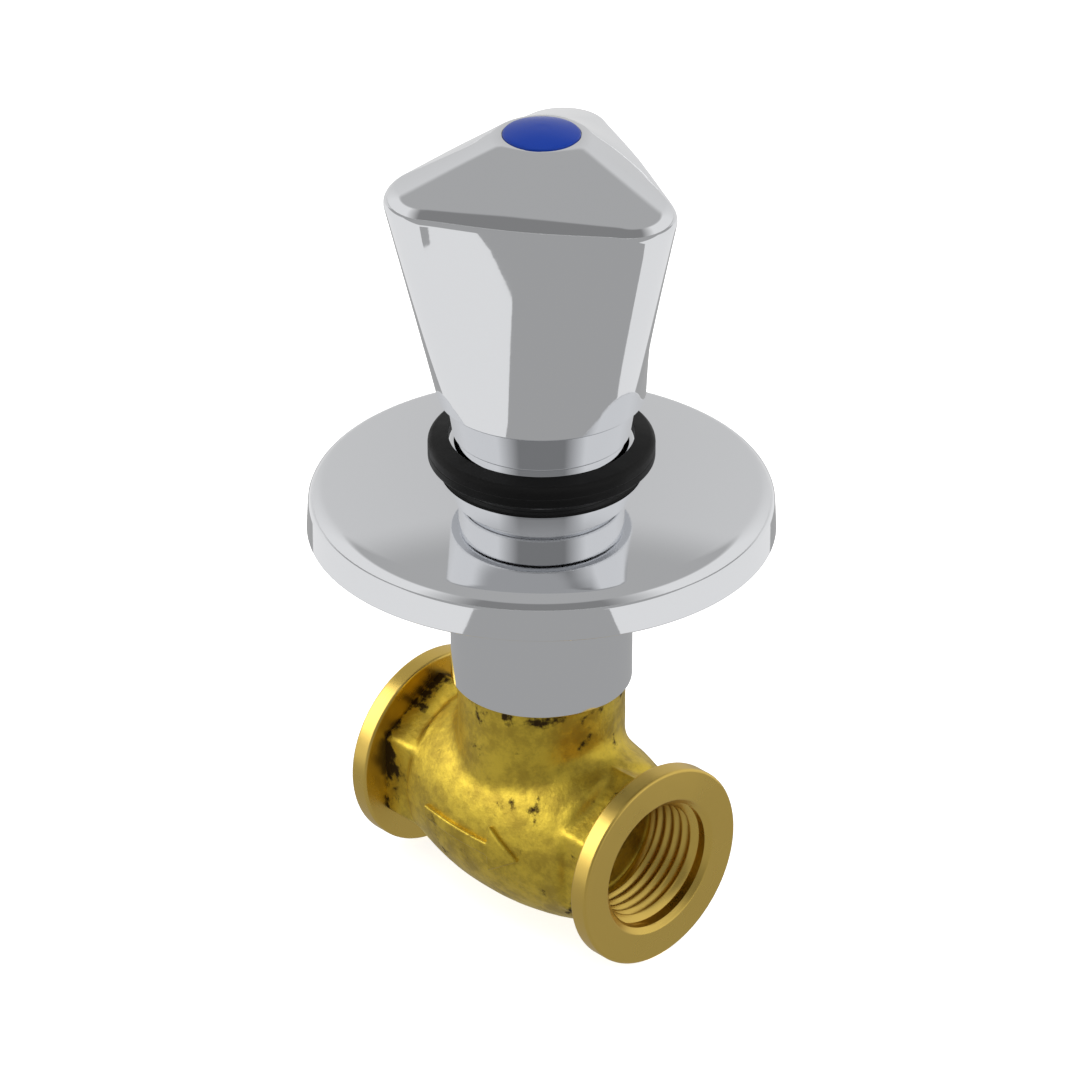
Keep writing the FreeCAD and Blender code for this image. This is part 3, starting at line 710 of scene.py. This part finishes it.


# cards lying round the valve for the plating to mirror, out of view: each glows with a set grey and is seen only in
# reflections, so they are painted reflections, and the ring paints the floor a shaded grey in them
def makeCards():
    # floor is the grey of the mirror ring: painted shade on the floor as the plating sees it
    look = {"floor": 0.40, "side": 0.85, "back": 0.75, "inner": 1.0, "outer": 2900.0, "under": -16.0, "over": -15.8}
    sheets = [    # name, (mm toward the camera, mm to its right) corners, grey
        ("leftCard", [(200, -500), (200, -100), (-300, -100), (-300, -500)], look["side"]),
        ("rightCard", [(200, 100), (200, 500), (-300, 500), (-300, 100)], look["side"]),
        ("backCard", [(-300, -1500), (-300, 1500), (-2700, 1500), (-2700, -1500)], look["back"]),
    ]
    ring = bmesh.new()
    ring.edges.new([ring.verts.new((look["inner"], 0, 0)), ring.verts.new((look["outer"], 0, 0))])
    bmesh.ops.spin(
        ring, geom=ring.verts[:] + ring.edges[:], cent=(0, 0, 0), axis=(0, 0, 1), angle=2 * math.pi, steps=96,
        use_merge=True, use_duplicate=False,
    )
    # the ring lies just over the floor, so the plating mirrors a painted shaded grey floor instead of the white one
    cards = [("mirrorRing", ring, look["under"], look["floor"])]
    for name, outline, grey in sheets:
        sheet = bmesh.new()
        sheet.faces.new([sheet.verts.new((toward, right, 0)) for toward, right in outline])
        cards.append((name, sheet, look["over"], grey))
    turn = Matrix.Rotation(math.radians(cameraTurn - 90), 3, "Z")
    for name, made, height, grey in cards:
        bmesh.ops.rotate(made, cent=(0, 0, 0), matrix=turn, verts=made.verts)
        bmesh.ops.translate(made, vec=(stemX, 0, height), verts=made.verts)
        bmesh.ops.scale(made, vec=(mm, mm, mm), verts=made.verts)
        mesh = bpy.data.meshes.new(name)
        made.to_mesh(mesh)
        made.free()
        card = bpy.data.objects.new(name, mesh)
        bpy.context.scene.collection.objects.link(card)
        material, tree, shader, coords = newMaterial(name + "ReflectionGlow", Base_Color=(0, 0, 0, 1), Roughness=1.0)
        shader.inputs["Specular IOR Level"].default_value = 0
        # each card glows with its grey and is seen by glossy rays alone: a painted reflection
        shader.inputs["Emission Strength"].default_value = 1.0
        shader.inputs["Emission Color"].default_value = (grey, grey, grey, 1)
        mesh.materials.append(material)
        card.visible_camera = card.visible_diffuse = card.visible_shadow = False


def makeLights():
    lamps = [    # name, place in mm about the stem, size in mm, watts, mirrored in the brass alone
        ("keyLight", (-620, -640, 560), (800, 800), 4.0, True),
        ("fillLight", (900, 100, 620), (600, 700), 2.5, False),
        ("topLight", (0, -160, 1000), (900, 900), 3.5, False),
    ]
    brass = bpy.data.collections.new("brassPieces")
    for piece in bpy.context.scene.objects:
        if piece.type == "MESH" and piece.data.materials and piece.data.materials[0] in (castBrass, turnedBrass):
            brass.objects.link(piece)
    target = Vector((stemX, 0, 50)) * mm
    for name, place, extent, watts, mirrored in lamps:
        lamp = bpy.data.lights.new(name, "AREA")
        lamp.shape = "RECTANGLE"
        lamp.size, lamp.size_y = extent[0] * mm, extent[1] * mm
        lamp.energy = watts
        holder = bpy.data.objects.new(name, lamp)
        holder.location = Vector((stemX + place[0], place[1], place[2])) * mm
        holder.rotation_euler = (target - holder.location).to_track_quat("-Z", "Y").to_euler()
        holder.visible_glossy = mirrored
        if mirrored:
            holder.light_linking.receiver_collection = brass
        bpy.context.scene.collection.objects.link(holder)


# the studio round the valve: a soft wall on each side, an unlit room behind the camera, a grey ceiling
def makeWorld():
    look = {"back": 0.60, "soft": 0.85, "dark": 0.25, "ceiling": 0.45, "wallTop": 0.60, "ceilingEdge": 0.70}
    world = bpy.data.worlds.new("studio")
    bpy.context.scene.world = world
    world.use_nodes = True
    tree = world.node_tree
    coords = tree.nodes.new("ShaderNodeTexCoord").outputs["Generated"]
    share, split = turnShare(tree, coords)
    walls = greyRamp(tree, share, [
        (-180, look["back"]), (-120, look["soft"]), (-60, look["soft"]), (-30, look["dark"]),
        (30, look["dark"]), (60, look["soft"]), (120, look["soft"]), (180, look["back"]),
    ])
    above = rangeNode(tree, split.outputs["Z"], look["wallTop"], look["ceilingEdge"])
    colour = mixColour(tree, above, walls, (look["ceiling"],) * 3)
    path = tree.nodes.new("ShaderNodeLightPath")    # the camera sees white, the plating sees the studio
    colour = mixColour(tree, path.outputs["Is Camera Ray"], colour, (1.0, 1.0, 1.0))
    background = tree.nodes["Background"]
    tree.links.new(colour, background.inputs["Color"])
    background.inputs["Strength"].default_value = 1.0


def makeCamera():
    view = {
        "azimuth": cameraTurn, "elevation": 29.374, "distance": 829.3, "lens": 181.52,
        "aim": (stemX - 0.161, -0.168, 46.916),
    }
    camera = bpy.data.cameras.new("camera")
    camera.sensor_width = 36
    camera.lens = view["lens"]
    camera.clip_start, camera.clip_end = 0.01, 20
    holder = bpy.data.objects.new("camera", camera)
    turn, lift = math.radians(view["azimuth"]), math.radians(view["elevation"])
    back = Vector((math.sin(turn) * math.cos(lift), -math.cos(turn) * math.cos(lift), math.sin(lift)))
    holder.location = (Vector(view["aim"]) + back * view["distance"]) * mm
    holder.rotation_euler = back.to_track_quat("Z", "Y").to_euler()
    bpy.context.scene.collection.objects.link(holder)
    bpy.context.scene.camera = holder


makeStage()
makeCards()
makeLights()
makeWorld()
makeCamera()
bpy.context.scene.view_settings.view_transform = "Standard"
print("stage, lights and camera made")
